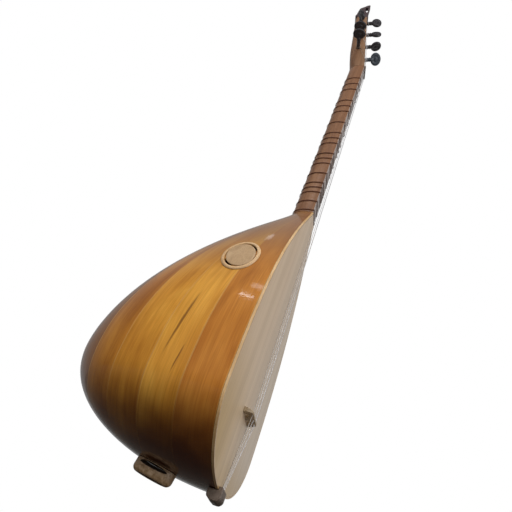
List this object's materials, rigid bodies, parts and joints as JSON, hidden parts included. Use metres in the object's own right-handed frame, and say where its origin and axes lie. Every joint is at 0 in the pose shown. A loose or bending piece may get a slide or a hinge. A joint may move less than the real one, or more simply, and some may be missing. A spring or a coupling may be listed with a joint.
{
  "type": "baglama",
  "caption": "Short-necked baglama with a staved bowl, soundboard, tied frets, leaning head, friction pegs and strings in three courses.",
  "frame": {"origin": "centre of the tailpiece's flat end face, at the bottom of the instrument's tail", "axes": "+Z along the neck towards the head, -Y out of the soundboard, -X towards the side pegs"},
  "size_m": [0.251, 0.2393, 1.0839],
  "materials": {
    "stave_wood": "gloss lacquer",
    "spruce": "matt",
    "maple_binding": "satin",
    "block_wood": "bare",
    "neck_wood": "gloss lacquer",
    "head_wood": "gloss lacquer",
    "scroll_wood": "satin",
    "horn": "satin",
    "bridge_wood": "satin",
    "tailpiece_wood": "satin",
    "ring_wood": "satin",
    "birch": "matt",
    "peg_black": "satin",
    "string_steel": "bright wire",
    "fret_line": "nylon line"
  },
  "bodies": {
    "root": {"brace_1": "spruce", "brace_2": "spruce", "edge_binding": "maple_binding", "head": "head_wood", "neck": "neck_wood", "neck_block": "block_wood", "nut": "horn", "rosette_medallion": "birch", "rosette_ring": "birch", "scroll": "scroll_wood", "soundboard": "spruce", "stave_1_left": "stave_wood", "stave_1_right": "stave_wood", "stave_2_left": "stave_wood", "stave_2_right": "stave_wood", "stave_3_left": "stave_wood", "stave_3_right": "stave_wood", "stave_4_left": "stave_wood", "stave_4_right": "stave_wood", "stave_5_left": "stave_wood", "stave_5_right": "stave_wood", "stave_keel": "stave_wood", "string_1": "string_steel", "string_2": "string_steel", "string_3": "string_steel", "string_4": "string_steel", "string_5": "string_steel", "string_6": "string_steel", "string_7": "string_steel", "tail_block": "block_wood", "tail_ring": "ring_wood", "tailpiece": "tailpiece_wood"},
    "front_peg_1_body": {"front_peg_1": "peg_black"},
    "front_peg_2_body": {"front_peg_2": "peg_black"},
    "front_peg_3_body": {"front_peg_3": "peg_black"},
    "front_peg_4_body": {"front_peg_4": "peg_black"},
    "side_peg_1_body": {"side_peg_1": "peg_black"},
    "side_peg_2_body": {"side_peg_2": "peg_black"},
    "side_peg_3_body": {"side_peg_3": "peg_black"},
    "bridge_body": {"bridge": "bridge_wood"},
    "fret_01_body": {"fret_01": "fret_line"},
    "fret_02_body": {"fret_02": "fret_line"},
    "fret_03_body": {"fret_03": "fret_line"},
    "fret_04_body": {"fret_04": "fret_line"},
    "fret_05_body": {"fret_05": "fret_line"},
    "fret_06_body": {"fret_06": "fret_line"},
    "fret_07_body": {"fret_07": "fret_line"},
    "fret_08_body": {"fret_08": "fret_line"},
    "fret_09_body": {"fret_09": "fret_line"},
    "fret_10_body": {"fret_10": "fret_line"},
    "fret_11_body": {"fret_11": "fret_line"},
    "fret_12_body": {"fret_12": "fret_line"},
    "fret_13_body": {"fret_13": "fret_line"},
    "fret_14_body": {"fret_14": "fret_line"},
    "fret_15_body": {"fret_15": "fret_line"},
    "fret_16_body": {"fret_16": "fret_line"},
    "fret_17_body": {"fret_17": "fret_line"},
    "fret_18_body": {"fret_18": "fret_line"},
    "fret_19_body": {"fret_19": "fret_line"}
  },
  "joints": [
    {"name": "front_peg_1_turn", "type": "hinge", "parent": "root", "child": "front_peg_1_body", "pos_m": [0, 0.00481, 0.85968], "axis": [0, -0.9461, 0.3239], "continuous": true},
    {"name": "front_peg_2_turn", "type": "hinge", "parent": "root", "child": "front_peg_2_body", "pos_m": [0, 0.01231, 0.90758], "axis": [0, -0.9461, 0.3239], "continuous": true},
    {"name": "front_peg_3_turn", "type": "hinge", "parent": "root", "child": "front_peg_3_body", "pos_m": [0, 0.01981, 0.95548], "axis": [0, -0.9461, 0.3239], "continuous": true},
    {"name": "front_peg_4_turn", "type": "hinge", "parent": "root", "child": "front_peg_4_body", "pos_m": [0, 0.02731, 1.00338], "axis": [0, -0.9461, 0.3239], "continuous": true},
    {"name": "side_peg_1_turn", "type": "hinge", "parent": "root", "child": "side_peg_1_body", "pos_m": [-0.01083, 0.02356, 0.88363], "axis": [-1, 0, 0], "continuous": true},
    {"name": "side_peg_2_turn", "type": "hinge", "parent": "root", "child": "side_peg_2_body", "pos_m": [-0.01034, 0.03012, 0.93153], "axis": [-1, 0, 0], "continuous": true},
    {"name": "side_peg_3_turn", "type": "hinge", "parent": "root", "child": "side_peg_3_body", "pos_m": [-0.00985, 0.03669, 0.97943], "axis": [-1, 0, 0], "continuous": true},
    {"name": "bridge_slide", "type": "slide", "parent": "root", "child": "bridge_body", "axis": [0, 0, 1], "range_m": [-0.002, 0.005]},
    {"name": "fret_01_slide", "type": "slide", "parent": "root", "child": "fret_01_body", "axis": [0, 0, 1], "range_m": [-0.002, 0.002]},
    {"name": "fret_02_slide", "type": "slide", "parent": "root", "child": "fret_02_body", "axis": [0, 0, 1], "range_m": [-0.002, 0.002]},
    {"name": "fret_03_slide", "type": "slide", "parent": "root", "child": "fret_03_body", "axis": [0, 0, 1], "range_m": [-0.002, 0.002]},
    {"name": "fret_04_slide", "type": "slide", "parent": "root", "child": "fret_04_body", "axis": [0, 0, 1], "range_m": [-0.002, 0.002]},
    {"name": "fret_05_slide", "type": "slide", "parent": "root", "child": "fret_05_body", "axis": [0, 0, 1], "range_m": [-0.002, 0.002]},
    {"name": "fret_06_slide", "type": "slide", "parent": "root", "child": "fret_06_body", "axis": [0, 0, 1], "range_m": [-0.002, 0.002]},
    {"name": "fret_07_slide", "type": "slide", "parent": "root", "child": "fret_07_body", "axis": [0, 0, 1], "range_m": [-0.002, 0.002]},
    {"name": "fret_08_slide", "type": "slide", "parent": "root", "child": "fret_08_body", "axis": [0, 0, 1], "range_m": [-0.002, 0.002]},
    {"name": "fret_09_slide", "type": "slide", "parent": "root", "child": "fret_09_body", "axis": [0, 0, 1], "range_m": [-0.002, 0.002]},
    {"name": "fret_10_slide", "type": "slide", "parent": "root", "child": "fret_10_body", "axis": [0, 0, 1], "range_m": [-0.002, 0.002]},
    {"name": "fret_11_slide", "type": "slide", "parent": "root", "child": "fret_11_body", "axis": [0, 0, 1], "range_m": [-0.002, 0.002]},
    {"name": "fret_12_slide", "type": "slide", "parent": "root", "child": "fret_12_body", "axis": [0, 0, 1], "range_m": [-0.002, 0.002]},
    {"name": "fret_13_slide", "type": "slide", "parent": "root", "child": "fret_13_body", "axis": [0, 0, 1], "range_m": [-0.002, 0.002]},
    {"name": "fret_14_slide", "type": "slide", "parent": "root", "child": "fret_14_body", "axis": [0, 0, 1], "range_m": [-0.002, 0.002]},
    {"name": "fret_15_slide", "type": "slide", "parent": "root", "child": "fret_15_body", "axis": [0, 0, 1], "range_m": [-0.002, 0.002]},
    {"name": "fret_16_slide", "type": "slide", "parent": "root", "child": "fret_16_body", "axis": [0, 0, 1], "range_m": [-0.002, 0.002]},
    {"name": "fret_17_slide", "type": "slide", "parent": "root", "child": "fret_17_body", "axis": [0, 0, 1], "range_m": [-0.002, 0.002]},
    {"name": "fret_18_slide", "type": "slide", "parent": "root", "child": "fret_18_body", "axis": [0, 0, 1], "range_m": [-0.002, 0.002]},
    {"name": "fret_19_slide", "type": "slide", "parent": "root", "child": "fret_19_body", "axis": [0, 0, 1], "range_m": [-0.002, 0.002]}
  ]
}
